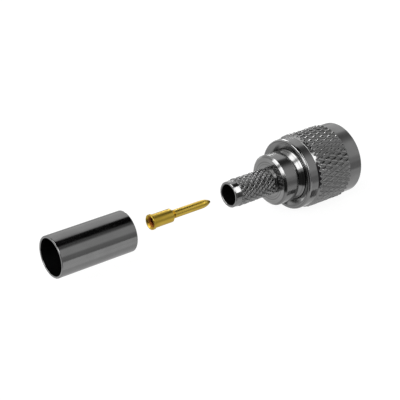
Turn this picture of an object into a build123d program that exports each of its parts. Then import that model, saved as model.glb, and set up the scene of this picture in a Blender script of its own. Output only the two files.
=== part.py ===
"""A crimp coaxial plug with a knurled coupling nut, its loose centre contact and its crimp ferrule.

Millimetres. +X points out of the mating end, +Z is up, and the origin is the centre of the
coupling nut's mating face. The contact and the ferrule lie on the plug's axis behind the stem,
in the order in which they go onto the cable.
"""
from build123d import *
import os
from math import cos, pi, sin

# Coupling thread, bored to its minor diameter
thread_major_diameter = 9.6
thread_depth = 0.55
thread_relief_depth = 0.05
thread_relief_width = 1.1

# Coupling nut
nut_length = 11.35
nut_wall = 1.02
nut_front_band = 2.75
nut_front_chamfer = 0.2
nut_rear_band = 2.1
nut_rear_step = 0.07
nut_rear_corner = 0.45
nut_corner_steps = 3
nut_mouth_edge = 0.06
nut_running_clearance = 0.1

# Diamond knurl of the nut, cut by crossing helical grooves
nut_knurl_count = 42
nut_knurl_half_rows = 5
nut_knurl_lead_length = 0.3
nut_knurl_rise = 0.28
nut_knurl_depth = 0.35
nut_knurl_seat_depth = 0.3

# Flange and front shell of the body, inside the nut
flange_step = 0.7
flange_length = 2.43
flange_inset = 0.57
flange_end_play = 0.25
shell_room = 0.75
shell_recess = 1.25
shell_wall = 0.5
shell_edge = 0.12
insulator_seat_step = 0.2

# Crimp stem, with its bore for the cable's core
stem_length = 8.18
stem_bore_diameter = 3.3
stem_wall = 0.42
stem_edge = 0.1
stem_lead_length = 1.15
stem_root_length = 0.35
stem_knurl_count = 17
stem_knurl_half_rows = 11
stem_knurl_lead_length = 0.15
stem_knurl_rise = 0.2
stem_knurl_depth = 0.24
stem_knurl_seat_depth = 0.08
contact_pocket_step = 0.22
contact_pocket_depth = 0.65
insulator_shoulder_depth = 0.16

# Collar, the shoulder that the ferrule butts against
collar_shoulder = 0.97
collar_length = 2.73
collar_chamfer = 0.38
neck_depth = 0.8
neck_to_nut = 0.84

# Retaining ring between the flange and the nut
ring_width = 0.6
ring_in_flange = 0.42
ring_in_nut = 0.4
ring_gap = 1.4
ring_from_flange_back = 0.88
ring_clearance = 0.1
ring_side_clearance = 0.08

# Insulator
insulator_length = 3.0
insulator_fit = 0.02
insulator_edge = 0.15

# Centre contact
contact_collar_diameter = 2.12
contact_collar_length = 3.3
contact_flange_rise = 0.14
contact_flange_length = 0.42
contact_flange_edge = 0.06
contact_cone_length = 0.42
contact_pin_diameter = 1.3
contact_pin_length = 5.0
contact_neck_depth = 0.18
contact_neck_length = 0.16
contact_nose_length = 1.9
contact_nose_diameter = 0.3
contact_nose_bluntness = 2.6
contact_nose_steps = 5
contact_cup_diameter = 1.14
contact_cup_depth = 3.0
contact_cup_rim = 0.15
contact_cup_mouth_depth = 0.5
contact_running_clearance = 0.04

# Crimp ferrule
ferrule_room = 0.74
ferrule_wall = 0.34
ferrule_length = 12.65
ferrule_edge = 0.1

# Loose pieces, measured along the axis from the stem's mouth
contact_nose_to_stem = 3.65
ferrule_front_to_stem = 19.2
seat_gap = 0.05

# Diameters that follow from the thread, outwards to the nut and inwards to the shell
thread_minor_diameter = thread_major_diameter - 2 * thread_depth
thread_relief_diameter = thread_major_diameter + 2 * thread_relief_depth
nut_front_diameter = thread_major_diameter + 2 * nut_wall
nut_rear_diameter = nut_front_diameter - 2 * nut_rear_step
nut_knurl_crest_diameter = nut_front_diameter + 2 * nut_knurl_rise
flange_diameter = thread_major_diameter - 2 * flange_step
nut_bore_diameter = flange_diameter + 2 * nut_running_clearance
neck_diameter = flange_diameter - 2 * neck_depth
ring_inner_diameter = flange_diameter - 2 * ring_in_flange
ring_outer_diameter = flange_diameter + 2 * ring_in_nut
shell_diameter = thread_minor_diameter - 2 * shell_room
shell_bore_diameter = shell_diameter - 2 * shell_wall
insulator_seat_diameter = shell_bore_diameter - 2 * insulator_seat_step

# Diameters that follow from the cable's core, outwards to the collar
stem_diameter = stem_bore_diameter + 2 * stem_wall
stem_knurl_crest_diameter = stem_diameter + 2 * stem_knurl_rise
contact_pocket_diameter = stem_bore_diameter + 2 * contact_pocket_step
ferrule_bore_diameter = stem_diameter + 2 * ferrule_room
ferrule_diameter = ferrule_bore_diameter + 2 * ferrule_wall
collar_diameter = ferrule_diameter + 2 * collar_shoulder

# Diameters that follow from the contact's collar and pin
contact_flange_diameter = contact_collar_diameter + 2 * contact_flange_rise
contact_cup_mouth_diameter = contact_flange_diameter - 2 * contact_cup_rim
contact_neck_diameter = contact_pin_diameter - 2 * contact_neck_depth

# Places along the axis that several pieces share
nut_back_x = -nut_length
flange_back_x = nut_back_x + flange_inset
flange_front_x = flange_back_x + flange_length
relief_back_x = flange_front_x + flange_end_play
thread_back_x = relief_back_x + thread_relief_width
shell_front_x = -shell_recess
collar_front_x = nut_back_x - neck_to_nut
collar_back_x = collar_front_x - collar_length
stem_mouth_x = collar_back_x - stem_length
insulator_back_x = collar_front_x - insulator_shoulder_depth
insulator_front_x = insulator_back_x + insulator_length
ring_back_x = flange_back_x + ring_from_flange_back
ring_front_x = ring_back_x + ring_width


def half(diameter):
    """The radius of a diameter."""
    return diameter / 2


def knurled_rod(start_x, lead_length, lead_radius, half_pitch, half_rows, count, crest_radius, depth):
    """A solid rod along X whose surface is crossing V grooves, cut off square at its far end.

    Crests and groove crossings alternate on a grid of stations and angles. Each grid cell folds
    along the groove that joins its two crossings, which gives four facets to each diamond. The
    near end leads up to the first station from a round rim, so the diamonds end in a saw-toothed bevel.
    """
    around = 2 * count
    angles = [pi * j / count for j in range(around)]
    stations = [[Vector(start_x, lead_radius * cos(angle), lead_radius * sin(angle)) for angle in angles]]
    for i in range(half_rows + 1):
        x = start_x + lead_length + i * half_pitch
        ring = []
        for j, angle in enumerate(angles):
            radius = crest_radius - depth * ((i + j) % 2)
            ring.append(Vector(x, radius * cos(angle), radius * sin(angle)))
        stations.append(ring)
    facets = [Face(Wire.make_polygon(stations[0])), Face(Wire.make_polygon(stations[-1]))]
    for i in range(half_rows + 1):
        for j in range(around):
            k = (j + 1) % around
            cell = [stations[i][j], stations[i][k], stations[i + 1][k], stations[i + 1][j]]
            if (i + j) % 2 == 1:
                cell = cell[1:] + cell[:1]
            facets.append(Face(Wire.make_polygon([cell[0], cell[1], cell[2]])))
            facets.append(Face(Wire.make_polygon([cell[0], cell[2], cell[3]])))
    return Solid(Shell(facets))


# Plug body: stem, collar, flange and front shell turned as one piece
stem_knurl_start_x = stem_mouth_x + stem_lead_length
stem_knurl_end_x = collar_back_x - stem_root_length
stem_knurl_rod = knurled_rod(
    stem_knurl_start_x,
    stem_knurl_lead_length,
    half(stem_diameter),
    (stem_knurl_end_x - stem_knurl_start_x - stem_knurl_lead_length) / stem_knurl_half_rows,
    stem_knurl_half_rows,
    stem_knurl_count,
    half(stem_knurl_crest_diameter),
    stem_knurl_depth,
)
stem_blank_radius = half(stem_knurl_crest_diameter) - stem_knurl_depth - stem_knurl_seat_depth
body_groove_radius = half(ring_inner_diameter) - ring_clearance
pocket_back_x = insulator_back_x - contact_pocket_depth

with BuildPart() as plug_body:
    with BuildSketch(Plane.XY):
        with BuildLine():
            Polyline(
                (stem_mouth_x, 0),
                (stem_mouth_x, half(stem_diameter)),
                (stem_knurl_start_x, half(stem_diameter)),
                (stem_knurl_start_x, stem_blank_radius),
                (stem_knurl_end_x, stem_blank_radius),
                (stem_knurl_end_x, half(stem_diameter)),
                (collar_back_x, half(stem_diameter)),
                (collar_back_x, half(collar_diameter)),
                (collar_front_x, half(collar_diameter)),
                (collar_front_x, half(neck_diameter)),
                (flange_back_x - neck_depth, half(neck_diameter)),
                (flange_back_x, half(flange_diameter)),
                (ring_back_x - ring_clearance, half(flange_diameter)),
                (ring_back_x - ring_clearance, body_groove_radius),
                (ring_front_x + ring_clearance, body_groove_radius),
                (ring_front_x + ring_clearance, half(flange_diameter)),
                (flange_front_x, half(flange_diameter)),
                (flange_front_x, half(shell_diameter)),
                (shell_front_x, half(shell_diameter)),
                (shell_front_x, 0),
                close=True,
            )
        make_face()
    revolve(axis=Axis.X)
    chamfer(edges().filter_by(GeomType.CIRCLE).group_by(Axis.X)[0], stem_edge)
    chamfer(edges().filter_by(GeomType.CIRCLE).group_by(Axis.X)[-1], shell_edge)
    collar_edges = edges().filter_by(GeomType.CIRCLE).filter_by(
        lambda edge: abs(edge.radius - half(collar_diameter)) < stem_edge
    )
    chamfer(collar_edges.sort_by(Axis.X)[0], collar_chamfer)
    add(stem_knurl_rod)
    with BuildSketch(Plane.XY):
        with BuildLine():
            Polyline(
                (stem_mouth_x, 0),
                (stem_mouth_x, half(stem_bore_diameter)),
                (pocket_back_x, half(stem_bore_diameter)),
                (pocket_back_x, half(contact_pocket_diameter)),
                (insulator_back_x, half(contact_pocket_diameter)),
                (insulator_back_x, half(insulator_seat_diameter)),
                (insulator_front_x, half(insulator_seat_diameter)),
                (insulator_front_x, half(shell_bore_diameter)),
                (shell_front_x - shell_edge, half(shell_bore_diameter)),
                (shell_front_x, half(shell_bore_diameter) + shell_edge),
                (shell_front_x, 0),
                close=True,
            )
        make_face()
    revolve(axis=Axis.X, mode=Mode.SUBTRACT)
plug_body.part.label = "plug_body"

# Retaining ring, split so that it springs into both grooves
with BuildPart() as retaining_ring:
    with BuildSketch(Plane.YZ.offset(ring_back_x)):
        Circle(half(ring_outer_diameter))
        Circle(half(ring_inner_diameter), mode=Mode.SUBTRACT)
        with Locations((0, half(ring_outer_diameter))):
            Rectangle(ring_gap, ring_outer_diameter - ring_inner_diameter + ring_gap, mode=Mode.SUBTRACT)
    extrude(amount=ring_width)
retaining_ring.part.label = "retaining_ring"

# Insulator, pressed into the shell against the shoulder at the end of the stem's bore
with BuildPart() as insulator:
    with BuildSketch(Plane.YZ.offset(insulator_back_x)):
        Circle(half(insulator_seat_diameter) - insulator_fit)
    extrude(amount=insulator_length)
    chamfer(edges().filter_by(GeomType.CIRCLE).group_by(Axis.X)[-1], insulator_edge)
    with BuildSketch(Plane.YZ.offset(insulator_back_x)):
        Circle(half(contact_collar_diameter) + contact_running_clearance)
    extrude(amount=insulator_length, mode=Mode.SUBTRACT)
insulator.part.label = "insulator"

# Coupling nut
nut_knurl_start_x = nut_back_x + nut_rear_band
nut_knurl_end_x = -nut_front_band
nut_knurl_rod = knurled_rod(
    nut_knurl_start_x,
    nut_knurl_lead_length,
    half(nut_rear_diameter),
    (nut_knurl_end_x - nut_knurl_start_x - nut_knurl_lead_length) / nut_knurl_half_rows,
    nut_knurl_half_rows,
    nut_knurl_count,
    half(nut_knurl_crest_diameter),
    nut_knurl_depth,
)
nut_blank_radius = half(nut_knurl_crest_diameter) - nut_knurl_depth - nut_knurl_seat_depth
nut_groove_radius = half(ring_outer_diameter) + ring_clearance

corner_points = []
for step in range(nut_corner_steps + 1):
    turn = pi / 2 * step / nut_corner_steps
    corner_points.append(
        (
            nut_back_x + nut_rear_corner * (1 - cos(turn)),
            half(nut_rear_diameter) - nut_rear_corner * (1 - sin(turn)),
        )
    )

with BuildPart() as coupling_nut:
    with BuildSketch(Plane.XY):
        with BuildLine():
            Polyline(
                (nut_back_x, 0),
                *corner_points,
                (nut_knurl_start_x, half(nut_rear_diameter)),
                (nut_knurl_start_x, nut_blank_radius),
                (nut_knurl_end_x, nut_blank_radius),
                (nut_knurl_end_x, half(nut_front_diameter)),
                (0, half(nut_front_diameter)),
                (0, 0),
                close=True,
            )
        make_face()
    revolve(axis=Axis.X)
    chamfer(edges().filter_by(GeomType.CIRCLE).group_by(Axis.X)[-1], nut_front_chamfer)
    add(nut_knurl_rod)
    with BuildSketch(Plane.XY):
        with BuildLine():
            Polyline(
                (nut_back_x, 0),
                (nut_back_x, half(nut_rear_diameter) - nut_rear_corner),
                (flange_back_x, half(nut_bore_diameter) + nut_mouth_edge),
                (flange_back_x + nut_mouth_edge, half(nut_bore_diameter)),
                (ring_back_x - ring_side_clearance, half(nut_bore_diameter)),
                (ring_back_x - ring_side_clearance, nut_groove_radius),
                (ring_front_x + ring_side_clearance, nut_groove_radius),
                (ring_front_x + ring_side_clearance, half(nut_bore_diameter)),
                (relief_back_x, half(nut_bore_diameter)),
                (relief_back_x, half(thread_relief_diameter)),
                (thread_back_x, half(thread_relief_diameter)),
                (thread_back_x, half(thread_minor_diameter)),
                (-thread_depth, half(thread_minor_diameter)),
                (0, half(thread_major_diameter)),
                (0, 0),
                close=True,
            )
        make_face()
    revolve(axis=Axis.X, mode=Mode.SUBTRACT)
coupling_nut.part.label = "coupling_nut"

# Centre contact, drawn where it lies behind the stem
contact_tip_x = stem_mouth_x - contact_nose_to_stem
contact_nose_x = contact_tip_x - contact_nose_length
contact_neck_front_x = contact_nose_x - contact_pin_length
contact_neck_back_x = contact_neck_front_x - contact_neck_length
contact_collar_front_x = contact_neck_back_x - contact_cone_length
contact_flange_front_x = contact_collar_front_x - contact_collar_length
contact_back_x = contact_flange_front_x - contact_flange_length

nose_drop = half(contact_pin_diameter) - half(contact_nose_diameter)
nose_points = []
for step in range(contact_nose_steps + 1):
    share = step / contact_nose_steps
    nose_points.append(
        (
            contact_nose_x + share * contact_nose_length,
            half(contact_pin_diameter) - nose_drop * share**contact_nose_bluntness,
        )
    )

with BuildPart() as center_contact:
    with BuildSketch(Plane.XY):
        with BuildLine():
            Polyline(
                (contact_tip_x, 0),
                (contact_back_x, 0),
                (contact_back_x, half(contact_flange_diameter)),
                (contact_flange_front_x, half(contact_flange_diameter)),
                (contact_flange_front_x, half(contact_collar_diameter)),
                (contact_collar_front_x, half(contact_collar_diameter)),
                (contact_neck_back_x, half(contact_neck_diameter)),
                (contact_neck_front_x, half(contact_neck_diameter)),
                (contact_neck_front_x, half(contact_pin_diameter)),
                *nose_points,
                close=True,
            )
        make_face()
    revolve(axis=Axis.X)
    chamfer(
        edges().filter_by(GeomType.CIRCLE).filter_by(
            lambda edge: abs(edge.radius - half(contact_flange_diameter)) < contact_flange_edge
        ),
        contact_flange_edge,
    )
    with BuildSketch(Plane.XY):
        with BuildLine():
            Polyline(
                (contact_back_x, 0),
                (contact_back_x, half(contact_cup_mouth_diameter)),
                (contact_back_x + contact_cup_mouth_depth, half(contact_cup_diameter)),
                (contact_back_x + contact_cup_depth, half(contact_cup_diameter)),
                (contact_back_x + contact_cup_depth + half(contact_cup_diameter), 0),
                close=True,
            )
        make_face()
    revolve(axis=Axis.X, mode=Mode.SUBTRACT)
center_contact.part.label = "center_contact"

# Crimp ferrule, drawn where it lies behind the contact
ferrule_front_x = stem_mouth_x - ferrule_front_to_stem
ferrule_back_x = ferrule_front_x - ferrule_length

with BuildPart() as crimp_ferrule:
    with BuildSketch(Plane.YZ.offset(ferrule_back_x)):
        Circle(half(ferrule_diameter))
        Circle(half(ferrule_bore_diameter), mode=Mode.SUBTRACT)
    extrude(amount=ferrule_length)
    chamfer(edges().filter_by(GeomType.CIRCLE), ferrule_edge)
crimp_ferrule.part.label = "crimp_ferrule"

# How far the loose pieces travel to their seats
contact_travel = insulator_back_x - contact_flange_front_x - seat_gap
ferrule_travel = collar_back_x - ferrule_front_x - seat_gap
print("contact travel", round(contact_travel, 3), "ferrule travel", round(ferrule_travel, 3))
print("stem mouth", round(stem_mouth_x, 3), "shell front", round(shell_front_x, 3))
print("insulator", round(insulator_back_x, 3), round(insulator_front_x, 3))
print("contact", round(contact_back_x, 3), round(contact_tip_x, 3))

os.makedirs("parts", exist_ok=True)
export_step(plug_body.part, "parts/plug_body.step")
export_step(retaining_ring.part, "parts/retaining_ring.step")
export_step(insulator.part, "parts/insulator.step")
export_step(coupling_nut.part, "parts/coupling_nut.step")
export_step(center_contact.part, "parts/center_contact.step")
export_step(crimp_ferrule.part, "parts/crimp_ferrule.step")
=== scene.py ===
"""A crimp coaxial plug laid out along its axis: ferrule, centre contact, stem, collar and knurled nut.

Metres throughout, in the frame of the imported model: +X points out of the mating end, +Z is up and
the origin is the centre of the nut's mating face. Every new surface is a profile carried round the
X axis, or a height field laid on such a surface, worked out as whole arrays.
"""
import logging
import math
from dataclasses import dataclass, field
from enum import Enum

import bpy
import numpy as np
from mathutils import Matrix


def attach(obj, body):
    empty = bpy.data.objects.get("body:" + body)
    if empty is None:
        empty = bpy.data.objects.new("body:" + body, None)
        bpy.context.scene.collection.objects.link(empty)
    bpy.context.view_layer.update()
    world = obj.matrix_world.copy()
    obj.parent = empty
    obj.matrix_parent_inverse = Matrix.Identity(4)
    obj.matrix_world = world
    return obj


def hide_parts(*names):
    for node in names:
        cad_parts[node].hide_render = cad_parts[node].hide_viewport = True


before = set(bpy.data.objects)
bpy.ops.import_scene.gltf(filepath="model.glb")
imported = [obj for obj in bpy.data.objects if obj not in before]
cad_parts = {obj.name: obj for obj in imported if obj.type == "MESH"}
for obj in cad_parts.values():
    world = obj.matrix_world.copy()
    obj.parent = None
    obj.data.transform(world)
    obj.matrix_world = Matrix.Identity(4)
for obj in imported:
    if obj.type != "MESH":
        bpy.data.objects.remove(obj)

log = logging.getLogger("plug")
MM = 0.001
TURN = 2.0 * math.pi
Array = np.ndarray
CAMERA = np.array([-123.475, -122.715, 79.281])  # the camera's place, in mm
CAMERA_DOWN = 26.83  # how far it looks down, in degrees
CAMERA_TURN = -37.7  # how far it turns from +Y, in degrees
BUMP_DISTANCE = 0.00001  # in metres
SHARP = 0.02  # rounding of a corner that reads as sharp, in mm
Socket = bpy.types.NodeSocket
Value = Socket | float | tuple[float, ...]
Colour = tuple[float, float, float, float]


class Zone(Enum):
    """Which side of a turned piece a profile corner lies on."""

    OUTSIDE = 0.0
    BORE = 1.0


class Body(Enum):
    """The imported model's moving bodies that pieces ride on."""

    PLUG = "plug"
    NUT = "nut"
    CONTACT = "contact"
    FERRULE = "ferrule"


class Slot(Enum):
    """The record's material slots that new pieces take."""

    BODY = "plated_body"
    NUT = "plated_nut"
    INSULATOR = "insulator"
    CONTACT = "gold_contact"
    FERRULE = "plated_ferrule"


@dataclass(frozen=True)
class Corner:
    """One corner of a turned profile: its place along the axis, its radius and its rounding, in mm."""

    x: float
    r: float
    rounding: float = 0.03
    zone: Zone = Zone.OUTSIDE


@dataclass
class Profile:
    """A rounded profile as arrays: points (n, 2) and the bore mask."""

    points: Array
    bore: Array


@dataclass
class Surface:
    """Points, faces and marks of one or more closed surfaces."""

    points: Array
    quads: Array
    triangles: Array
    marks: dict[str, Array]


def unit(vectors: Array) -> Array:
    """Return the vectors at length one."""
    return vectors / np.maximum(np.linalg.norm(vectors, axis=-1, keepdims=True), 1e-12)


def round_profile(corners: list[Corner], closed: bool = True, steps: int = 5) -> Profile:
    """Round every corner of a profile with an arc.

    Each corner's arc touches both of its sides at the rounding over the tangent of half the
    inner angle. Its points run from one touching point to the other by equal turns about the
    arc's centre. A guard point on each side, half a rounding further out, keeps the flats flat.

    Args:
        corners: the corners in order round the section.
        closed: True where the last corner joins the first, False where both lie on the axis.
        steps: points on each arc.

    Returns:
        The rounded profile in mm.
    """
    place = np.array([[c.x, c.r] for c in corners])
    rounding = np.array([[c.rounding] for c in corners])
    zone = np.array([c.zone.value for c in corners])
    back = unit(np.roll(place, 1, 0) - place)
    ahead = unit(np.roll(place, -1, 0) - place)
    half = np.arccos(np.clip((back * ahead).sum(1, keepdims=True), -0.9999, 0.9999)) / 2
    reach = rounding / np.tan(half)
    centre = place + unit(back + ahead) * rounding / np.sin(half)
    sweep = math.pi - 2 * half
    share = np.linspace(0, 1, steps)[None, :]
    first = (place + back * reach - centre)[:, None, :]
    last = (place + ahead * reach - centre)[:, None, :]
    near = (np.sin((1 - share) * sweep) / np.sin(sweep))[..., None]
    far = (np.sin(share * sweep) / np.sin(sweep))[..., None]
    arc = centre[:, None, :] + near * first + far * last
    guard = reach + rounding * 0.5
    before = (place + back * guard)[:, None, :]
    after = (place + ahead * guard)[:, None, :]
    rows = np.concatenate([before, arc, after], axis=1)
    bore = np.repeat(zone[:, None], steps + 2, axis=1)
    if closed:
        return Profile(rows.reshape(-1, 2), bore.ravel())
    points = np.concatenate([place[:1], rows[1:-1].reshape(-1, 2), place[-1:]])
    return Profile(points, np.concatenate([zone[:1], bore[1:-1].ravel(), zone[-1:]]))


def neighbours(rows: int, columns: int) -> tuple[Array, Array, Array, Array]:
    """Number the points of a grid that closes both ways, rows along and columns round the axis.

    Returns:
        For each point its own number, that of the next one round, and those of both one row on.
    """
    index = np.arange(rows * columns).reshape(rows, columns)
    after = np.roll(index, -1, axis=1)
    return index, after, np.roll(index, -1, axis=0), np.roll(after, -1, axis=0)


def groove(back: float, front: float, outside: float, floor: float, zone: Zone) -> list[Corner]:
    """Corners of a square groove, from its back edge to its front edge, in mm."""
    places = ((back, outside), (back, floor), (front, floor), (front, outside))
    return [Corner(x, r, SHARP, zone) for x, r in places]


def outward(points: Array, quads: Array, triangles: Array) -> tuple[Array, Array]:
    """Turn all faces round if the surface's signed volume is negative.

    The volume is a sixth of the sum of each triangle's triple product of its corners.

    Args:
        points: the vertices.
        quads: four-cornered faces.
        triangles: three-cornered faces.

    Returns:
        The faces with their normals pointing out.
    """
    halves = np.concatenate([quads[:, [0, 1, 2]], quads[:, [0, 2, 3]], triangles])
    a, b, c = points[halves[:, 0]], points[halves[:, 1]], points[halves[:, 2]]
    if (a * np.cross(b, c)).sum() < 0:
        return quads[:, ::-1], triangles[:, ::-1]
    return quads, triangles


def turned(profile: Profile, segments: int, closed: bool = True, shift: Array | None = None) -> Surface:
    """Carry a profile round the X axis.

    A point at (x, r) of the profile goes to (x, r cos a, r sin a) for each angle a.

    Args:
        profile: the rounded profile in mm.
        segments: steps round the axis.
        closed: False where the first and last points lie on the axis and close as poles.
        shift: extra radius in mm for each profile point and angle, or None.

    Returns:
        The closed surface in metres, with the mark bore.
    """
    angle = np.arange(segments) * TURN / segments
    x = np.repeat(profile.points[:, :1], segments, axis=1)
    r = np.repeat(profile.points[:, 1:], segments, axis=1)
    if shift is not None:
        r = r + shift
    grid = np.stack([x, r * np.cos(angle), r * np.sin(angle)], axis=-1) * MM
    rows = len(grid)
    bore = np.repeat(profile.bore, segments)
    index, after, below, below_after = neighbours(rows, segments)
    body = slice(None) if closed else slice(1, rows - 2)
    quads = np.stack([part[body] for part in (index, after, below_after, below)], axis=-1).reshape(-1, 4)
    triangles = np.zeros((0, 3), int)
    if not closed:
        head = np.stack([np.full(segments, index[0, 0]), after[1], index[1]], axis=-1)
        tail = np.stack([np.full(segments, index[-1, 0]), index[-2], after[-2]], axis=-1)
        triangles = np.concatenate([head, tail])
    points = grid.reshape(-1, 3)
    quads, triangles = outward(points, quads, triangles)
    return Surface(points, quads, triangles, {"bore": bore})


def joined(parts: list[Surface]) -> Surface:
    """Put several closed surfaces into one set of arrays.

    Args:
        parts: the surfaces, each with the same or fewer marks.

    Returns:
        One surface. A part without a mark has zeros for it.
    """
    offset = np.cumsum([0] + [len(p.points) for p in parts])
    points = np.concatenate([p.points for p in parts])
    quads = np.concatenate([p.quads + o for p, o in zip(parts, offset)])
    triangles = np.concatenate([p.triangles + o for p, o in zip(parts, offset)])
    names = sorted({n for p in parts for n in p.marks})
    marks = {n: np.concatenate([p.marks.get(n, np.zeros(len(p.points))) for p in parts]) for n in names}
    return Surface(points, quads, triangles, marks)


def used_only(whole: Surface) -> Surface:
    """Leave out the points that no face uses, as at the poles."""
    used = np.zeros(len(whole.points), bool)
    used[whole.quads.ravel()] = True
    used[whole.triangles.ravel()] = True
    place = np.cumsum(used) - 1
    marks = {n: v[used] for n, v in whole.marks.items()}
    return Surface(whole.points[used], place[whole.quads], place[whole.triangles], marks)


def linked(name: str, data: bpy.types.ID) -> bpy.types.Object:
    """Make an object of a mesh or camera and link it into the scene."""
    made = bpy.data.objects.new(name, data)
    bpy.context.scene.collection.objects.link(made)
    return made


def plain_mesh(name: str, points: Array, faces: list[list[int]]) -> bpy.types.Mesh:
    """Make a mesh from points and faces."""
    mesh = bpy.data.meshes.new(name)
    mesh.from_pydata(points.tolist(), [], faces)
    return mesh


def make_piece(
    name: str, parts: list[Surface], body: Body, nodes: list[str]
) -> bpy.types.Object:
    """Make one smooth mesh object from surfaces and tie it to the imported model.

    Args:
        name: the piece's name.
        parts: its closed surfaces.
        body: the body that it rides on.
        nodes: the CAD nodes that it stands for.

    Returns:
        The object, at the origin.
    """
    whole = used_only(joined(parts))
    mesh = plain_mesh(name, whole.points, whole.quads.tolist() + whole.triangles.tolist())
    mesh.polygons.foreach_set("use_smooth", np.ones(len(mesh.polygons), bool))
    for mark, values in whole.marks.items():
        layer = mesh.attributes.new(mark, "FLOAT", "POINT")
        layer.data.foreach_set("value", values.astype(np.float32))
    mesh.update()
    piece = linked(name, mesh)
    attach(piece, body.value)
    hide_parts(*nodes)
    log.info("%s: %d faces on %s", name, len(mesh.polygons), body.value)
    return piece


@dataclass
class DiamondKnurl:
    """A sleeve of diamonds between crossing grooves, bevelled at its near end. Lengths in mm.

    The sleeve runs from start to end. Its lead, before the first row, begins at the lead radius and
    is cut by the bevel's cone.

    Attributes:
        half_rows: half pitches along the axis.
        count: diamonds in one row round the axis.
        crest: radius of the diamonds' tops.
        seat: radius of the sleeve's inside, out of sight in the turned blank.
        dome: how far a diamond falls towards its edge, as a share of the depth.
        flank: share of a diamond that the slopes of one family of grooves take.
        cross: the same for the other family.
        uneven: how far a diamond may sink by chance.
        tilt: how far a diamond may lean by chance.
        parts: steps over one half pitch.
        dirt_and_shade_share: height below which the grooves darken with dirt and painted shade, as a share
            of the depth.
    """

    start: float
    lead: float
    lead_r: float
    end: float
    half_rows: int
    count: int
    crest: float
    depth: float
    seat: float
    bevel: float
    dome: float
    flank: float = 0.4
    cross: float = 0.35
    uneven: float = 0.08
    tilt: float = 0.12
    seed: int = 7
    parts: int = 10
    lead_rows: int = 6
    dirt_and_shade_share: float = 0.35

    def half_pitch(self) -> float:
        """Half the diamonds' pitch along the axis, in mm."""
        return (self.end - self.start - self.lead) / self.half_rows

    def heights(self, p: Array, q: Array) -> tuple[Array, Array]:
        """Work out how high the diamonds stand.

        Diamonds stand where p and q are whole and their sum is even. Over u = (p + q) / 2 and
        v = (p - q) / 2, the two terms 1 - 2 |u - round u| and 1 - 2 |v - round v| rise from a
        groove to a crest. Each is divided by the share that its flank takes, and the lesser of
        them is cut at one. The worn height is less by a dome, which falls with the square of the
        way down the diamond, and by each diamond's own chance of sinking and leaning.

        Args:
            p: half pitches along the axis, one a row.
            q: half pitches round the axis, one a column.

        Returns:
            The plain and the worn height, from nought in the grooves to one at the crest.
        """
        u, v = (p + q) / 2, (p - q) / 2
        near_u, near_v = np.round(u), np.round(v)
        rise_u, rise_v = 1 - 2 * np.abs(u - near_u), 1 - 2 * np.abs(v - near_v)
        plain = np.clip(np.minimum(rise_u / self.flank, rise_v / self.cross), 0, 1)
        chance = np.random.default_rng(self.seed).random((3, self.half_rows + 4, 2 * self.count))
        row = np.clip(near_u + near_v + 1, 0, self.half_rows + 3).astype(int)
        column = np.mod(near_u - near_v, 2 * self.count).astype(int)
        sink, lean_p, lean_q = chance[:, row, column]
        lean = (lean_p - 0.5) * (p - near_u - near_v) + (lean_q - 0.5) * (q - near_u + near_v)
        dome = self.dome * (1 - np.minimum(rise_u, rise_v)) ** 2
        return plain, plain * (1 - self.uneven * sink - self.tilt * (0.5 + lean) - dome)

    def faces(self, rows: int, columns: int) -> Array:
        """Split each square of the grid so that its diagonal runs along a diamond's flank.

        The diagonal changes from square to square, by whether the row counted from the first
        whole diamond and the column add up to an even number.

        Args:
            rows: rows of points, with the two on the seat.
            columns: points round the axis.

        Returns:
            The triangles, two for each square.
        """
        index, after, below, below_after = neighbours(rows, columns)
        first = self.lead_rows + 1
        even = np.add.outer(np.arange(rows) - first, np.arange(columns)) % 2 == 0
        one = np.stack([index, after, np.where(even, below_after, below)], axis=-1)
        two = np.stack([np.where(even, index, after), below_after, below], axis=-1)
        return np.concatenate([one.reshape(-1, 3), two.reshape(-1, 3)])

    def surface(self) -> Surface:
        """Build the sleeve.

        The radius is the crest radius less the depth times one less the worn height, and at the
        near end never more than that of the bevel's cone. A row on the seat closes each end.

        Returns:
            The closed sleeve with the mark deep, for the grooves' dirt and painted shade. The bevel stays
            clean.
        """
        near = np.linspace(-self.lead / self.half_pitch(), 0, self.lead_rows + 1)[:-1]
        rows = np.arange(self.half_rows * self.parts + 1) / self.parts
        p = np.concatenate([near, rows])[:, None]
        q = (np.arange(2 * self.count * self.parts) / self.parts)[None, :]
        plain, shaped = self.heights(p, q)
        along = self.start + self.lead + p * self.half_pitch()
        cone = self.lead_r + (self.crest - self.lead_r) * (along - self.start) / self.bevel
        radius = np.minimum(self.crest - self.depth * (1 - shaped), cone)
        off_bevel = radius <= cone - 0.01
        seat = np.full((1, q.size), self.seat)
        none = np.zeros_like(seat)
        x = np.repeat(along, q.size, axis=1)
        x = np.concatenate([x[:1], x, x[-1:]])
        radius = np.concatenate([seat, radius, seat])
        angle = math.pi * q / self.count
        # deep darkens the grooves with dirt and painted shade; none on the bevel.
        deep = np.concatenate([none, np.clip(1 - plain / self.dirt_and_shade_share, 0, 1) * off_bevel, none])
        points = np.stack([x, radius * np.cos(angle), radius * np.sin(angle)], axis=-1).reshape(-1, 3) * MM
        quads, triangles = outward(points, np.zeros((0, 4), int), self.faces(*x.shape))
        return Surface(points, quads, triangles, {"deep": deep.ravel()})


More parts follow.
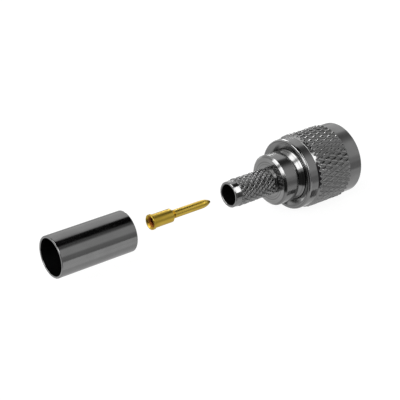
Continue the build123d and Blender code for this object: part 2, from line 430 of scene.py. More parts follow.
@dataclass
class CouplingNut:
    """The knurled coupling nut with its inside thread. Lengths in mm."""

    length: float = 11.35
    front_r: float = 5.82
    rear_r: float = 5.75
    knurl: DiamondKnurl = field(default_factory=lambda: DiamondKnurl(
        start=-9.4, lead=0.45, lead_r=5.72, end=-2.75, half_rows=5, count=42, crest=6.1, depth=0.2,
        seat=5.4, bevel=0.55, dome=0.9
    ))
    blank_gap: float = 0.1
    front_chamfer: float = 0.16
    front_step: float = 0.06
    rear_step: float = 0.05
    rear_rounding: float = 0.37
    thread_back: float = -7.0
    thread_front: float = -0.02
    thread_rows: int = 100
    minor_r: float = 4.25
    major_r: float = 4.8
    pitch: float = 1.058
    root_flat: float = 0.25
    crest_flat: float = 0.125
    relief_r: float = 4.85
    relief_back: float = -8.1
    bore_r: float = 4.2
    bore_chamfer: float = 0.06
    mouth: float = -10.78
    corner: float = 0.45
    groove_back: float = -9.98
    groove_front: float = -9.22
    groove_r: float = 4.6
    segments: int = 200

    def dish_edge(self) -> float:
        """Where the dished rear face would meet the rear band if the rim between them were sharp."""
        rim_r = self.rear_r - self.corner
        slope = (self.length + self.mouth) / (rim_r - self.bore_r - self.bore_chamfer)
        return -self.length - slope * self.corner

    def thread(self) -> Profile:
        """Rows of the threaded stretch, evenly spaced from the relief to the mating face."""
        x = np.linspace(self.thread_back, self.thread_front, self.thread_rows)
        points = np.stack([x, np.full_like(x, self.minor_r)], axis=1)
        return Profile(points, np.full(len(x), Zone.BORE.value))

    def thread_shift(self, rows: Array) -> Array:
        """Depth of the thread at each row and angle.

        The phase is (x - pitch a / turn) / pitch, which makes a right-hand helix. The depth is the
        phase's triangle wave, cut flat over its lowest quarter and its highest eighth. A cone from
        the major radius at the mating face cuts the first turn away.

        Args:
            rows: the rows' places along the axis.

        Returns:
            The depth in mm.
        """
        angle = np.arange(self.segments)[None, :] * TURN / self.segments
        phase = rows[:, None] / self.pitch - angle / TURN
        wave = 1 - np.abs(2 * (phase - np.floor(phase)) - 1)
        share = np.clip((wave - self.root_flat) / (1 - self.root_flat - self.crest_flat), 0, 1)
        cone = np.clip(self.major_r + rows[:, None] - self.minor_r, 0, None)
        return np.maximum((self.major_r - self.minor_r) * share, cone)

    def surfaces(self) -> list[Surface]:
        """The turned nut with its thread, and the knurl that stands on it."""
        blank = self.knurl.seat - self.blank_gap
        start, end = self.knurl.start, self.knurl.end
        bore = Zone.BORE
        shell = round_profile([
            Corner(0, self.major_r + 0.03, 0.03, bore),
            Corner(0, self.front_r - self.front_chamfer, 0.05),
            Corner(-self.front_chamfer, self.front_r, 0.06),
            Corner(end + 0.04, self.front_r, 0.05),
            Corner(end, self.front_r - self.front_step),
            Corner(end, blank, SHARP),
            Corner(start, blank, SHARP),
            Corner(start, self.rear_r - self.rear_step),
            Corner(start - 0.04, self.rear_r, 0.04),
            Corner(self.dish_edge(), self.rear_r, self.rear_rounding),
            Corner(self.mouth, self.bore_r + self.bore_chamfer, SHARP),
            Corner(self.mouth + self.bore_chamfer, self.bore_r, SHARP),
            *groove(self.groove_back, self.groove_front, self.bore_r, self.groove_r, bore),
            Corner(self.relief_back, self.bore_r, SHARP, bore),
            Corner(self.relief_back, self.relief_r, SHARP, bore),
            Corner(self.thread_back, self.relief_r, SHARP, bore),
        ])
        thread = self.thread()
        points = np.concatenate([shell.points, thread.points])
        profile = Profile(points, np.concatenate([shell.bore, thread.bore]))
        plain = np.zeros((len(shell.points), self.segments))
        shift = np.concatenate([plain, self.thread_shift(thread.points[:, 0])])
        return [turned(profile, self.segments, True, shift), self.knurl.surface()]

    def build(self) -> bpy.types.Object:
        """Make the nut's piece."""
        return make_piece("coupling_nut_turned", self.surfaces(), Body.NUT, ["coupling_nut"])


@dataclass
class PlugBody:
    """Crimp stem, collar, flange and front shell, turned as one. Lengths in mm."""

    mouth: float = -23.1
    collar_back: float = -14.92
    collar_front: float = -12.19
    neck_r: float = 3.3
    flange_back: float = -10.78
    flange_front: float = -8.35
    shell_front: float = -1.25
    stem_r: float = 2.07
    bore_r: float = 1.65
    collar_r: float = 4.12
    flange_r: float = 4.1
    shell_r: float = 3.5
    socket_r: float = 3.0
    seat_r: float = 2.8
    pocket_r: float = 1.9
    groove_back: float = -10.0
    groove_front: float = -9.2
    groove_r: float = 3.58
    seat_front: float = -9.35
    seat_back: float = -12.35
    pocket_back: float = -13.0
    stem_chamfer: float = 0.1
    collar_chamfer: float = 0.38
    shell_chamfer: float = 0.12
    bore_chamfer: float = 0.12
    blank_gap: float = 0.05
    segments: int = 200
    knurl: DiamondKnurl = field(default_factory=lambda: DiamondKnurl(
        start=-21.95, lead=0.15, lead_r=2.06, end=-15.27, half_rows=11, count=17, crest=2.27, depth=0.23,
        seat=1.93, bevel=0.12, flank=0.8, dome=0.15, uneven=0.25, tilt=0.35, seed=11, parts=8
    ))

    def surfaces(self) -> list[Surface]:
        """The turned body with its through bore, and the knurl on its stem."""
        bore = Zone.BORE
        blank = self.knurl.seat - self.blank_gap
        corners = [
            Corner(self.mouth, self.stem_r - self.stem_chamfer),
            Corner(self.mouth + self.stem_chamfer, self.stem_r, 0.06),
            Corner(self.knurl.start, self.stem_r),
            Corner(self.knurl.start, blank, SHARP),
            Corner(self.knurl.end, blank, SHARP),
            Corner(self.knurl.end, self.stem_r),
            Corner(self.collar_back, self.stem_r, 0.05),
            Corner(self.collar_back, self.collar_r - self.collar_chamfer, 0.05),
            Corner(self.collar_back + self.collar_chamfer, self.collar_r, 0.05),
            Corner(self.collar_front, self.collar_r, 0.05),
            Corner(self.collar_front, self.neck_r, 0.05),
            Corner(self.flange_back - self.flange_r + self.neck_r, self.neck_r, 0.05),
            Corner(self.flange_back, self.flange_r, 0.04),
            *groove(self.groove_back, self.groove_front, self.flange_r, self.groove_r, Zone.OUTSIDE),
            Corner(self.flange_front, self.flange_r, 0.04),
            Corner(self.flange_front, self.shell_r, 0.05),
            Corner(self.shell_front - self.shell_chamfer, self.shell_r, 0.04),
            Corner(self.shell_front, self.shell_r - self.shell_chamfer, 0.04),
            Corner(self.shell_front, self.socket_r + self.shell_chamfer),
            Corner(self.shell_front - self.shell_chamfer, self.socket_r, 0.04),
            Corner(self.seat_front, self.socket_r),
            Corner(self.seat_front, self.seat_r),
            Corner(self.seat_back, self.seat_r, zone=bore),
            Corner(self.seat_back, self.pocket_r, zone=bore),
            Corner(self.pocket_back, self.pocket_r, zone=bore),
            Corner(self.pocket_back, self.bore_r, zone=bore),
            Corner(self.mouth + self.bore_chamfer, self.bore_r, zone=bore),
            Corner(self.mouth, self.bore_r + self.stem_chamfer),
        ]
        return [turned(round_profile(corners), self.segments), self.knurl.surface()]

    def build(self) -> bpy.types.Object:
        """Make the body's piece."""
        return make_piece("plug_body_turned", self.surfaces(), Body.PLUG, ["plug_body"])


@dataclass
class Insulator:
    """The disc that carries the contact in the middle of the front shell. Lengths in mm."""

    back: float = -12.35
    front: float = -9.35
    outer_r: float = 2.78
    inner_r: float = 1.1
    chamfer: float = 0.15
    hole_chamfer: float = 0.06
    segments: int = 160

    def build(self) -> bpy.types.Object:
        """Make the insulator's piece, a ring with softly broken front edges."""
        corners = [
            Corner(self.back, self.inner_r, 0.05, Zone.BORE),
            Corner(self.back, self.outer_r, 0.05),
            Corner(self.front - self.chamfer, self.outer_r, 0.06),
            Corner(self.front, self.outer_r - self.chamfer, 0.08),
            Corner(self.front, self.inner_r + self.hole_chamfer, 0.05),
            Corner(self.front - self.hole_chamfer, self.inner_r, 0.04, Zone.BORE),
        ]
        surface = turned(round_profile(corners), self.segments)
        return make_piece("insulator_disc", [surface], Body.PLUG, ["insulator"])


@dataclass
class CenterContact:
    """The loose gold contact: crimp cup, collar, neck and pin. Lengths in mm."""

    back: float = -37.95
    tip: float = -26.75
    flange_r: float = 1.2
    collar_r: float = 1.06
    neck_r: float = 0.47
    pin_r: float = 0.65
    cup_r: float = 0.57
    cup_mouth_r: float = 1.05
    nose_length: float = 1.9
    nose_r: float = 0.15
    bluntness: float = 2.6
    nose_rings: int = 9
    flange_length: float = 0.42
    collar_length: float = 3.3
    taper_length: float = 0.42
    neck_length: float = 0.16
    mouth_depth: float = 0.5
    cup_depth: float = 3.0
    cup_point: float = 3.57
    rim_break: float = 0.05
    segments: int = 160

    def nose(self) -> list[Corner]:
        """Corners of the bullet nose: the radius falls with a power of the way along it."""
        share = np.linspace(0, 1, self.nose_rings)
        x = self.tip - self.nose_length * (1 - share)
        r = self.pin_r - (self.pin_r - self.nose_r) * share**self.bluntness
        return [Corner(float(a), float(b), 0.04 if b > self.nose_r else 0.08) for a, b in zip(x, r)]

    def build(self) -> bpy.types.Object:
        """Make the contact's piece, closed on the axis at its tip and at the cup's bottom."""
        bore = Zone.BORE
        flange_front = self.back + self.flange_length
        collar_front = flange_front + self.collar_length
        neck_back = collar_front + self.taper_length
        neck_front = neck_back + self.neck_length
        corners = [
            Corner(self.back + self.cup_point, 0, 0.01, bore),
            Corner(self.back + self.cup_depth, self.cup_r, 0.05, bore),
            Corner(self.back + self.mouth_depth, self.cup_r, 0.08, bore),
            Corner(self.back, self.cup_mouth_r, SHARP),
            Corner(self.back, self.flange_r - self.rim_break, SHARP),
            Corner(self.back + self.rim_break, self.flange_r, 0.04),
            Corner(flange_front - self.rim_break, self.flange_r, 0.04),
            Corner(flange_front, self.flange_r - self.rim_break, SHARP),
            Corner(flange_front, self.collar_r),
            Corner(collar_front, self.collar_r, 0.06),
            Corner(neck_back, self.neck_r, SHARP),
            Corner(neck_front, self.neck_r, SHARP),
            Corner(neck_front, self.pin_r),
            *self.nose(),
            Corner(self.tip, 0, 0.01),
        ]
        surface = turned(round_profile(corners, False), self.segments, False)
        return make_piece("center_contact_turned", [surface], Body.CONTACT, ["center_contact"])


@dataclass
class CrimpFerrule:
    """The loose crimp sleeve, a plain tube with rolled edges. Lengths in mm.

    The bore's shade starts at the lit depth inside each end.
    """

    back: float = -54.95
    front: float = -42.3
    outer_r: float = 3.15
    inner_r: float = 2.81
    lit_depth: float = 0.35
    segments: int = 256

    def build(self) -> bpy.types.Object:
        """Make the ferrule's piece."""
        bore = Zone.BORE
        corners = [
            Corner(self.back, self.inner_r, 0.07),
            Corner(self.back, self.outer_r, 0.1),
            Corner(self.front, self.outer_r, 0.1),
            Corner(self.front, self.inner_r, 0.07),
            Corner(self.front - self.lit_depth, self.inner_r, 0.05, bore),
            Corner(self.back + self.lit_depth, self.inner_r, 0.05, bore),
        ]
        surface = turned(round_profile(corners), self.segments)
        return make_piece("crimp_ferrule_sleeve", [surface], Body.FERRULE, ["crimp_ferrule"])


class Wiring:
    """Short calls that place and join shader nodes in one tree."""

    def __init__(self, tree: bpy.types.NodeTree) -> None:
        """Keep the tree."""
        self.tree = tree

    def node(self, kind: str, **settings: object) -> bpy.types.Node:
        """Add a node and set its plain properties."""
        made = self.tree.nodes.new(kind)
        for name, value in settings.items():
            setattr(made, name, value)
        return made

    def join(self, start: Value, end: Socket) -> None:
        """Link an output to an input, or set the input where start is a value."""
        if isinstance(start, Socket):
            self.tree.links.new(start, end)
        else:
            end.default_value = start

    def math(self, operation: str, a: Value, b: Value = 0.0, c: Value = 0.0) -> Socket:
        """Add a Math node and return its output."""
        made = self.node("ShaderNodeMath", operation=operation)
        for socket, value in zip(made.inputs, (a, b, c)):
            self.join(value, socket)
        return made.outputs[0]

    def ramp(self, value: Value, low: float, high: float, start: float = 0.0, end: float = 1.0) -> Socket:
        """Map a value from one range to another along a smooth step."""
        made = self.node("ShaderNodeMapRange", interpolation_type="SMOOTHSTEP")
        self.join(value, made.inputs["Value"])
        limits = {"From Min": low, "From Max": high, "To Min": start, "To Max": end}
        for name, number in limits.items():
            made.inputs[name].default_value = number
        return made.outputs["Result"]

    def mix(self, share: Value, a: Value, b: Value) -> Socket:
        """Mix two colours."""
        made = self.node("ShaderNodeMix", data_type="RGBA")
        self.join(share, made.inputs[0])
        self.join(a, made.inputs[6])
        self.join(b, made.inputs[7])
        return made.outputs[2]

    def noise(
        self, where: Value, scale: Value, detail: float, rough: float = 0.5, one: bool = False
    ) -> Socket:
        """Add a noise texture over a vector, or over one number, and return its value."""
        made = self.node("ShaderNodeTexNoise", noise_dimensions="1D" if one else "3D")
        self.join(where, made.inputs["W" if one else "Vector"])
        self.join(scale, made.inputs["Scale"])
        made.inputs["Detail"].default_value = detail
        made.inputs["Roughness"].default_value = rough
        return made.outputs[0]

    def stretched(self, place: Value, scale: tuple[float, float, float]) -> Socket:
        """Scale a place by a different number along each axis."""
        made = self.node("ShaderNodeVectorMath", operation="MULTIPLY")
        self.join(place, made.inputs[0])
        made.inputs[1].default_value = scale
        return made.outputs[0]

    def shared(self, tree: bpy.types.NodeTree, values: dict[str, float]) -> bpy.types.Node:
        """Place a node group and set some of its inputs."""
        made = self.node("ShaderNodeGroup", node_tree=tree)
        for name, value in values.items():
            made.inputs[name].default_value = value
        return made

    def bump(self, height: Value, strength: float) -> Socket:
        """Turn a height into a normal, over a hundredth of a millimetre."""
        made = self.node("ShaderNodeBump")
        made.inputs["Strength"].default_value = strength
        made.inputs["Distance"].default_value = BUMP_DISTANCE
        self.join(height, made.inputs["Height"])
        return made.outputs[0]

    def principled(self) -> bpy.types.Node:
        """Place a Principled shader and join it to the material's output."""
        made = self.node("ShaderNodeBsdfPrincipled")
        self.join(made.outputs[0], self.node("ShaderNodeOutputMaterial").inputs[0])
        return made

    def glow(self, strength: float) -> Socket:
        """Place an Emission shader and return its output."""
        made = self.node("ShaderNodeEmission")
        made.inputs["Strength"].default_value = strength
        return made.outputs[0]


def cleared(holder: bpy.types.Material | bpy.types.World) -> Wiring:
    """Switch on the nodes of a material or world, empty its tree and return the wiring."""
    holder.use_nodes = True
    holder.node_tree.nodes.clear()
    return Wiring(holder.node_tree)


def new_group(name: str, inputs: dict[str, float], outputs: list[str]) -> Wiring:
    """Start a shader node group with number inputs and number outputs.

    Args:
        name: the group's name.
        inputs: each input's name and value to start with.
        outputs: the outputs' names.

    Returns:
        The wiring of the group's tree.
    """
    tree = bpy.data.node_groups.new(name, "ShaderNodeTree")
    for label, value in inputs.items():
        socket = tree.interface.new_socket(name=label, in_out="INPUT", socket_type="NodeSocketFloat")
        socket.default_value = value
    for label in outputs:
        tree.interface.new_socket(name=label, in_out="OUTPUT", socket_type="NodeSocketFloat")
    return Wiring(tree)


@dataclass(frozen=True)
class TurningMarks:
    """Fine rings that a lathe tool leaves, and small handling scratches, as a shared node group."""

    name: str = "turning_marks"
    scratch_along: tuple[float, float, float] = (900.0, 5200.0, 5200.0)
    scratch_across: tuple[float, float, float] = (5600.0, 1100.0, 1100.0)
    along_cut: tuple[float, float] = (0.64, 0.78)
    across_cut: tuple[float, float] = (0.66, 0.8)

    def group(self) -> bpy.types.NodeTree:
        """Return the group, building it once.

        On a turned piece, x plus the distance from the axis changes along every profile and stays
        the same round the axis, so noise over that sum gives rings on cylinders, cones and faces.
        Scratches are thin peaks of noise stretched along the surface. Facing is noise over the
        distance from the axis alone: broad arcs on the faces, and one even tone on a cylinder.
        """
        if self.name in bpy.data.node_groups:
            return bpy.data.node_groups[self.name]
        inputs = {"Ring Scale": 5000.0, "Ring Height": 0.5, "Scratch Height": 0.3, "Patch Scale": 250.0,
                  "Facing Scale": 2500.0}
        w = new_group(self.name, inputs, ["Height", "Patches", "Scratches", "Facing"])
        given = w.node("NodeGroupInput").outputs
        place = w.node("ShaderNodeTexCoord").outputs["Object"]
        split = w.node("ShaderNodeSeparateXYZ")
        w.join(place, split.inputs[0])
        x, y, z = split.outputs
        radius = w.math("SQRT", w.math("ADD", w.math("MULTIPLY", y, y), w.math("MULTIPLY", z, z)))
        along = w.math("MULTIPLY", w.math("ADD", x, radius), given["Ring Scale"])
        rings = w.noise(along, 1.0, 3.0, 0.7, one=True)
        facing = w.noise(w.math("MULTIPLY", radius, given["Facing Scale"]), 1.0, 2.0, 0.6, one=True)
        long_way = w.noise(w.stretched(place, self.scratch_along), 1.0, 2.0, 0.6)
        across = w.noise(w.stretched(place, self.scratch_across), 1.0, 2.0, 0.6)
        fine = w.math("MAXIMUM", w.ramp(long_way, *self.along_cut), w.ramp(across, *self.across_cut))
        patches = w.noise(place, given["Patch Scale"], 3.0)
        height = w.math("SUBTRACT", w.math("MULTIPLY", rings, given["Ring Height"]),
                        w.math("MULTIPLY", fine, given["Scratch Height"]))
        out = w.node("NodeGroupOutput").inputs
        made = {"Height": height, "Patches": patches, "Scratches": fine, "Facing": facing}
        for label, value in made.items():
            w.join(value, out[label])
        return w.tree


@dataclass(frozen=True)
class SurfaceMarks:
    """The masks kept on the mesh, as one group: painted shade in the bores, and dirt with painted shade in
    the grooves.
    """

    name: str = "surface_marks"
    deep_range: tuple[float, float] = (0.1, 0.9)
    bore_range: tuple[float, float] = (0.05, 0.95)

    def group(self) -> bpy.types.NodeTree:
        """Return the group, building it once. Its output is the darker of the two masks."""
        if self.name in bpy.data.node_groups:
            return bpy.data.node_groups[self.name]
        w = new_group(self.name, {"Dirt And Shade": 0.5, "Bore Dark": 0.9}, ["Dark"])
        given = w.node("NodeGroupInput").outputs
        read = {n: w.node("ShaderNodeAttribute", attribute_name=n).outputs["Fac"] for n in ("bore", "deep")}
        # Grooves: dirt and painted shade.
        dirt_and_shade = w.math("MULTIPLY", w.ramp(read["deep"], *self.deep_range), given["Dirt And Shade"])
        # Bores: painted shade.
        hole = w.math("MULTIPLY", w.ramp(read["bore"], *self.bore_range), given["Bore Dark"])
        w.join(w.math("MAXIMUM", dirt_and_shade, hole), w.node("NodeGroupOutput").inputs["Dark"])
        return w.tree


@dataclass(frozen=True)
class TurnedMetal:
    """A plated, turned metal: its colour, gloss, rings, scratches, groove dirt with painted shade, and
    painted bore shade.
    """

    name: str
    colour: Colour
    tarnish: Colour
    dark: Colour
    roughness: float = 0.12
    spread: float = 0.08
    ring_scale: float = 5000.0
    ring_height: float = 0.5
    scratch_height: float = 0.3
    bump: float = 0.15
    dirt_and_shade: float = 0.5
    bore_dark: float = 0.9
    arcs: float = 0.0
    scratch_rough: float = 0.12
    dark_rough: float = 0.35

    def material(self) -> bpy.types.Material:
        """Build the material.

        Returns:
            A Principled material. Base colour goes from the plating to its tarnish by patches and to the
            dark colour by arcs, by grooves as dirt and painted shade, and by bores as painted shade;
            roughness grows with all but the arcs and with the scratches.
        """
        made = bpy.data.materials.new(self.name)
        w = cleared(made)
        shader = w.principled()
        marks = w.shared(TurningMarks().group(), {
            "Ring Scale": self.ring_scale,
            "Ring Height": self.ring_height,
            "Scratch Height": self.scratch_height,
        }).outputs
        masks = w.shared(SurfaceMarks().group(), {"Dirt And Shade": self.dirt_and_shade, "Bore Dark": self.bore_dark}).outputs
        patches = w.ramp(marks["Patches"], 0.35, 0.7)
        plating = w.mix(patches, self.colour, self.tarnish)
        plating = w.mix(w.ramp(marks["Facing"], 0.5, 0.62, 0.0, self.arcs), plating, self.dark)
        # Painted shade: bores, and the knurl's grooves, where it is dirt as well, go to the dark colour.
        w.join(w.mix(masks["Dark"], plating, self.dark), shader.inputs["Base Color"])
        rough = w.math("MULTIPLY_ADD", patches, self.spread, self.roughness)
        rough = w.math("MULTIPLY_ADD", marks["Scratches"], self.scratch_rough, rough)
        rough = w.math("MULTIPLY_ADD", masks["Dark"], self.dark_rough, rough)
        w.join(rough, shader.inputs["Roughness"])
        shader.inputs["Metallic"].default_value = 1.0
        w.join(w.bump(marks["Height"], self.bump), shader.inputs["Normal"])
        return made


@dataclass(frozen=True)
class TurnedPlastic:
    """A white, waxy insulating plastic with faint tool rings. The wax depth is in metres."""

    name: str = "white_insulator"
    colour: Colour = (0.82, 0.82, 0.79, 1.0)
    shade: Colour = (0.74, 0.73, 0.69, 1.0)
    ring_scale: float = 9000.0
    roughness: float = 0.35
    spread: float = 0.15
    bump: float = 0.25
    wax: float = 0.15
    wax_depth: float = 0.0006

    def material(self) -> bpy.types.Material:
        """Build the material: two close whites in patches, soft gloss, rings as bump."""
        made = bpy.data.materials.new(self.name)
        w = cleared(made)
        shader = w.principled()
        marks = w.shared(TurningMarks().group(), {"Ring Scale": self.ring_scale}).outputs
        w.join(w.mix(marks["Patches"], self.colour, self.shade), shader.inputs["Base Color"])
        rough = w.math("MULTIPLY_ADD", marks["Patches"], self.spread, self.roughness)
        w.join(rough, shader.inputs["Roughness"])
        shader.inputs["Subsurface Weight"].default_value = self.wax
        shader.inputs["Subsurface Scale"].default_value = self.wax_depth
        w.join(w.bump(marks["Height"], self.bump), shader.inputs["Normal"])
        return made


PLATING: Colour = (0.31, 0.31, 0.31, 1)
TARNISH: Colour = (0.27, 0.27, 0.268, 1)
# Near-black: facing arcs, dirt and painted shade in the grooves, painted shade in the bores.
GRIME_AND_SHADE: Colour = (0.012, 0.012, 0.012, 1)
NICKEL = TurnedMetal("dark_nickel", PLATING, TARNISH, GRIME_AND_SHADE, dirt_and_shade=0.75, arcs=0.3)
KNURLED_NICKEL = TurnedMetal(
    "knurled_nickel", PLATING, TARNISH, GRIME_AND_SHADE, roughness=0.12, spread=0.06, dirt_and_shade=0.35, arcs=0.25
)
# Its near-black third colour is painted shade in the ferrule's bore.
SLEEVE_NICKEL = TurnedMetal(
    "sleeve_nickel", (0.3, 0.3, 0.3, 1), (0.27, 0.27, 0.27, 1), (0.004, 0.004, 0.004, 1),
    roughness=0.1, spread=0.06, ring_scale=3000.0, ring_height=0.2, scratch_height=0.5
)
# Its red-brown third colour is painted shade in the cup's bore.
GOLD = TurnedMetal(
    "contact_gold", (0.74, 0.52, 0.09, 1), (0.66, 0.45, 0.06, 1), (0.3, 0.06, 0.014, 1),
    roughness=0.27, spread=0.1, ring_scale=7000.0, ring_height=0.5, scratch_height=0.3
)
SPRING_STEEL = TurnedMetal(
    "spring_steel", (0.45, 0.44, 0.42, 1), (0.38, 0.37, 0.35, 1), (0.02, 0.02, 0.02, 1),
    roughness=0.3, spread=0.1
)


@dataclass(frozen=True)
class Card:
    """A light or dark card of the studio, seen in a direction from the object.

    The azimuth is measured from +Y towards +X and the height from the horizon, in degrees.
    """

    azimuth: float
    height: float
    half_width: float
    half_height: float
    brightness: float
    soft: float


@dataclass(frozen=True)
class Strip:
    """A strip of light or dark card in the studio, which only mirror rays see.

    From the photograph's camera it shows between two places along the axis and between two angles
    round it, which run from -Y upwards, in a cylinder or in a cone whose normal leans to -X by the
    tilt. It stands off by the reach. Lengths in mm, angles in degrees.
    """

    name: str
    start: float
    end: float
    radius: float
    low: float
    high: float
    reach: float
    brightness: float
    tilt: float = 0.0
    steps: int = 24

    def build(self) -> None:
        """Make the strip.

        Over the patch, with normal n and v the way from the point to the camera, each point moves
        by the reach along the mirror ray 2 (n v) n - v.
        """
        angle = np.radians(np.linspace(self.low, self.high, self.steps))
        out = np.stack([0 * angle, -np.cos(angle), np.sin(angle)], axis=-1)
        out = np.concatenate([out, out])
        lean = math.radians(self.tilt)
        n = out * math.cos(lean) + (-math.sin(lean), 0, 0)
        x = np.repeat([self.start, self.end], self.steps)
        patch = out * self.radius + np.stack([x, 0 * x, 0 * x], axis=-1)
        v = unit(CAMERA - patch)
        points = (patch + (2 * (n * v).sum(1, keepdims=True) * n - v) * self.reach) * MM
        index, after, below, below_after = (part[0, :-1] for part in neighbours(2, self.steps))
        quads = np.stack([index, after, below_after, below], axis=-1)
        piece = linked(self.name, plain_mesh(self.name, points, quads.tolist()))
        for ray_kind in ("camera", "diffuse", "shadow", "transmission", "volume_scatter"):
            setattr(piece, "visible_" + ray_kind, False)
        made = bpy.data.materials.new(self.name)
        w = cleared(made)
        w.join(w.glow(self.brightness), w.node("ShaderNodeOutputMaterial").inputs[0])
        piece.data.materials.append(made)


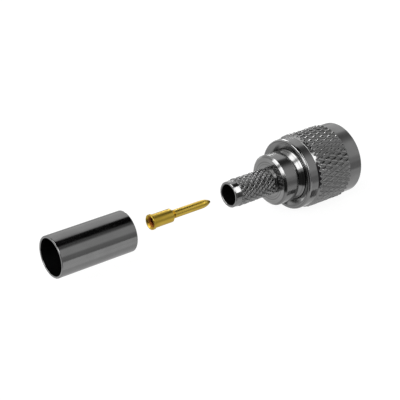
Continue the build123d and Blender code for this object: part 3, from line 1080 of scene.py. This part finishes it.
@dataclass
class Studio:
    """A plain pale floor, the soft studio round it with its cards and strips, and the camera.

    The low and the top light each give two heights in degrees and the light at them.
    """

    floor_z: float = -6.12
    floor_half: float = 1.5
    floor_shade: float = 0.2
    floor_glow: float = 0.92
    lens: float = 103.16
    sensor: float = 36.0
    low_light: tuple[float, ...] = (-40.0, -28.0, 0.76, 0.62)
    top_light: tuple[float, ...] = (55.0, 85.0, 1.0, 0.45)
    cards: list[Card] = field(default_factory=lambda: [
        Card(10, 22, 60, 32, 0.88, 10),
        Card(10, -12, 60, 18, 0.55, 12),
        Card(34, -38, 30, 7, 0.9, 8),
        Card(14, 52, 16, 8, 0.1, 6),
        Card(98, 62, 34, 14, 0.0, 13),
        Card(0, 90, 180, 27, 0.02, 10),
        Card(146, 34, 30, 10, 0.68, 10),
        Card(148, 16, 32, 11, 0.68, 10),
        Card(148, 2, 32, 10, 0.46, 10),
        Card(148, -7, 32, 6, 0.33, 2),
        Card(130, -15, 13, 4, 0.33, 4),
        Card(158, 4, 9, 7, 0.36, 6),
        Card(134, 51, 12, 6, 0.15, 9),
        Card(154, -42, 20, 10, 0.95, 6),
        Card(160, -24, 16, 11, 0.92, 3),
        Card(-60, 16, 18, 9, 0.02, 4),
        Card(-104, -4, 12, 12, 0.02, 4),
        Card(-86, 11, 8, 7, 3.5, 3),
        Card(-132, -12, 28, 26, 0.04, 8),
        Card(-41, -25, 15, 9, 1.05, 8),
        Card(-90, 64, 60, 10, 0.02, 4),
        Card(-22, 56, 14, 9, 0.02, 4),
        Card(-146, 22, 14, 10, 0.04, 4),
        Card(-136, 44, 8, 10, 4.5, 3),
        Card(-93, 55, 10, 6, 4.5, 3),
        Card(-67, 49, 18, 12, 4.5, 3),
        Card(-116, 37, 15, 14, 4.5, 3),
    ])
    strips: list[Strip] = field(default_factory=lambda: [
        Strip("lead_white", -24.3, -21.75, 2.07, 29, 54, 30, 5.0),
        Strip("lead_dark", -24.3, -21.75, 2.07, 6, 28, 30, 0.05),
        Strip("lead_dark_top", -24.3, -21.75, 2.07, 55, 73, 30, 0.0),
        Strip("lead_top", -24.3, -21.75, 2.07, 76, 116, 30, 0.75),
        Strip("collar_dark", -15.0, -11.8, 4.12, -17.5, -6.5, 30, 0.0),
        Strip("band_dark", -11.4, -9.4, 5.75, -23, -8, 30, 0.1),
        Strip("neck_dark", -11.6, -10.6, 3.8, 88, 126, 30, 0.0, 45),
        Strip("knurl_glints", -14.0, -4.0, 6.05, 92, 106, 250, 9.0, 7.5),
        Strip("pin_light", -31.6, -26.5, 0.65, 68, 124, 30, 1.2),
    ])

    def card_mask(self, w: Wiring, azimuth: Socket, height: Socket, card: Card) -> Socket:
        """One inside the card, fading to zero over its soft edge.

        The azimuth's distance from the card is taken the short way round the circle.
        """
        half_soft = card.soft / 2
        turn = w.math("SUBTRACT", azimuth, card.azimuth)
        turn = w.math("ABSOLUTE", w.math("WRAP", turn, 180.0, -180.0))
        side = w.ramp(turn, card.half_width - half_soft, card.half_width + half_soft, 1.0, 0.0)
        rise = w.math("ABSOLUTE", w.math("SUBTRACT", height, card.height))
        level = w.ramp(rise, card.half_height - half_soft, card.half_height + half_soft, 1.0, 0.0)
        return w.math("MULTIPLY", side, level)

    def world(self) -> None:
        """Set the studio light: a base that goes by height, with the cards laid over it.

        The camera itself sees a plain pale ground.
        """
        made = bpy.data.worlds.new("studio")
        bpy.context.scene.world = made
        w = cleared(made)
        split = w.node("ShaderNodeSeparateXYZ")
        w.join(w.node("ShaderNodeTexCoord").outputs["Generated"], split.inputs[0])
        x, y, z = split.outputs
        azimuth = w.math("MULTIPLY", w.math("ARCTAN2", x, y), 180 / math.pi)
        height = w.math("MULTIPLY", w.math("ARCSINE", z), 180 / math.pi)
        light = w.ramp(height, *self.low_light)
        light = w.math("MULTIPLY", light, w.ramp(height, *self.top_light))
        for card in self.cards:
            mask = self.card_mask(w, azimuth, height, card)
            light = w.math("ADD", w.math("MULTIPLY", light, w.math("SUBTRACT", 1.0, mask)),
                           w.math("MULTIPLY", mask, card.brightness))
        seen = w.node("ShaderNodeLightPath").outputs["Is Camera Ray"]
        light = w.math("ADD", w.math("MULTIPLY", light, w.math("SUBTRACT", 1.0, seen)), seen)
        ground = w.node("ShaderNodeBackground")
        w.join(light, ground.inputs["Strength"])
        w.join(ground.outputs[0], w.node("ShaderNodeOutputWorld").inputs[0])

    def floor(self) -> None:
        """Lay a wide, flat pale floor just under the nut."""
        corners = np.array([[-1, -1], [1, -1], [1, 1], [-1, 1]]) * self.floor_half
        points = np.column_stack([corners, np.full(4, self.floor_z * MM)])
        piece = linked("floor", plain_mesh("floor", points, [[0, 1, 2, 3]]))
        piece.visible_glossy = False
        made = bpy.data.materials.new("pale_floor")
        w = cleared(made)
        diffuse = w.node("ShaderNodeBsdfDiffuse")
        diffuse.inputs["Color"].default_value = (*[self.floor_shade] * 3, 1)
        both = w.node("ShaderNodeAddShader")
        w.join(diffuse.outputs[0], both.inputs[0])
        w.join(w.glow(self.floor_glow), both.inputs[1])
        w.join(both.outputs[0], w.node("ShaderNodeOutputMaterial").inputs[0])
        piece.data.materials.append(made)

    def camera(self) -> None:
        """Place the camera at the photograph's angle, with the axis running up to the right."""
        data = bpy.data.cameras.new("camera")
        data.lens = self.lens
        data.sensor_width = self.sensor
        data.clip_start = 0.005
        data.clip_end = 20.0
        camera = linked("camera", data)
        camera.location = tuple(CAMERA * MM)
        camera.rotation_euler = (math.radians(90 - CAMERA_DOWN), 0, math.radians(CAMERA_TURN))
        bpy.context.scene.camera = camera

    def build(self) -> None:
        """Set up the studio and plain colour handling."""
        self.world()
        self.floor()
        for strip in self.strips:
            strip.build()
        self.camera()
        bpy.context.scene.view_settings.view_transform = "Standard"


def dress(piece: bpy.types.Object, material: bpy.types.Material) -> None:
    """Give a piece one material in place of what it has."""
    piece.data.materials.clear()
    piece.data.materials.append(material)


def main() -> None:
    """Build the stage and every piece."""
    logging.basicConfig(level=logging.INFO, format="%(name)s: %(message)s")
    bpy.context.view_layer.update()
    Studio().build()
    dress(CouplingNut().build(), KNURLED_NICKEL.material())
    dress(PlugBody().build(), NICKEL.material())
    dress(Insulator().build(), TurnedPlastic().material())
    dress(CenterContact().build(), GOLD.material())
    dress(CrimpFerrule().build(), SLEEVE_NICKEL.material())
    dress(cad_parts["retaining_ring"], SPRING_STEEL.material())
    log.info("retaining_ring: the packed solid, dressed")


if __name__ == "__main__":
    main()
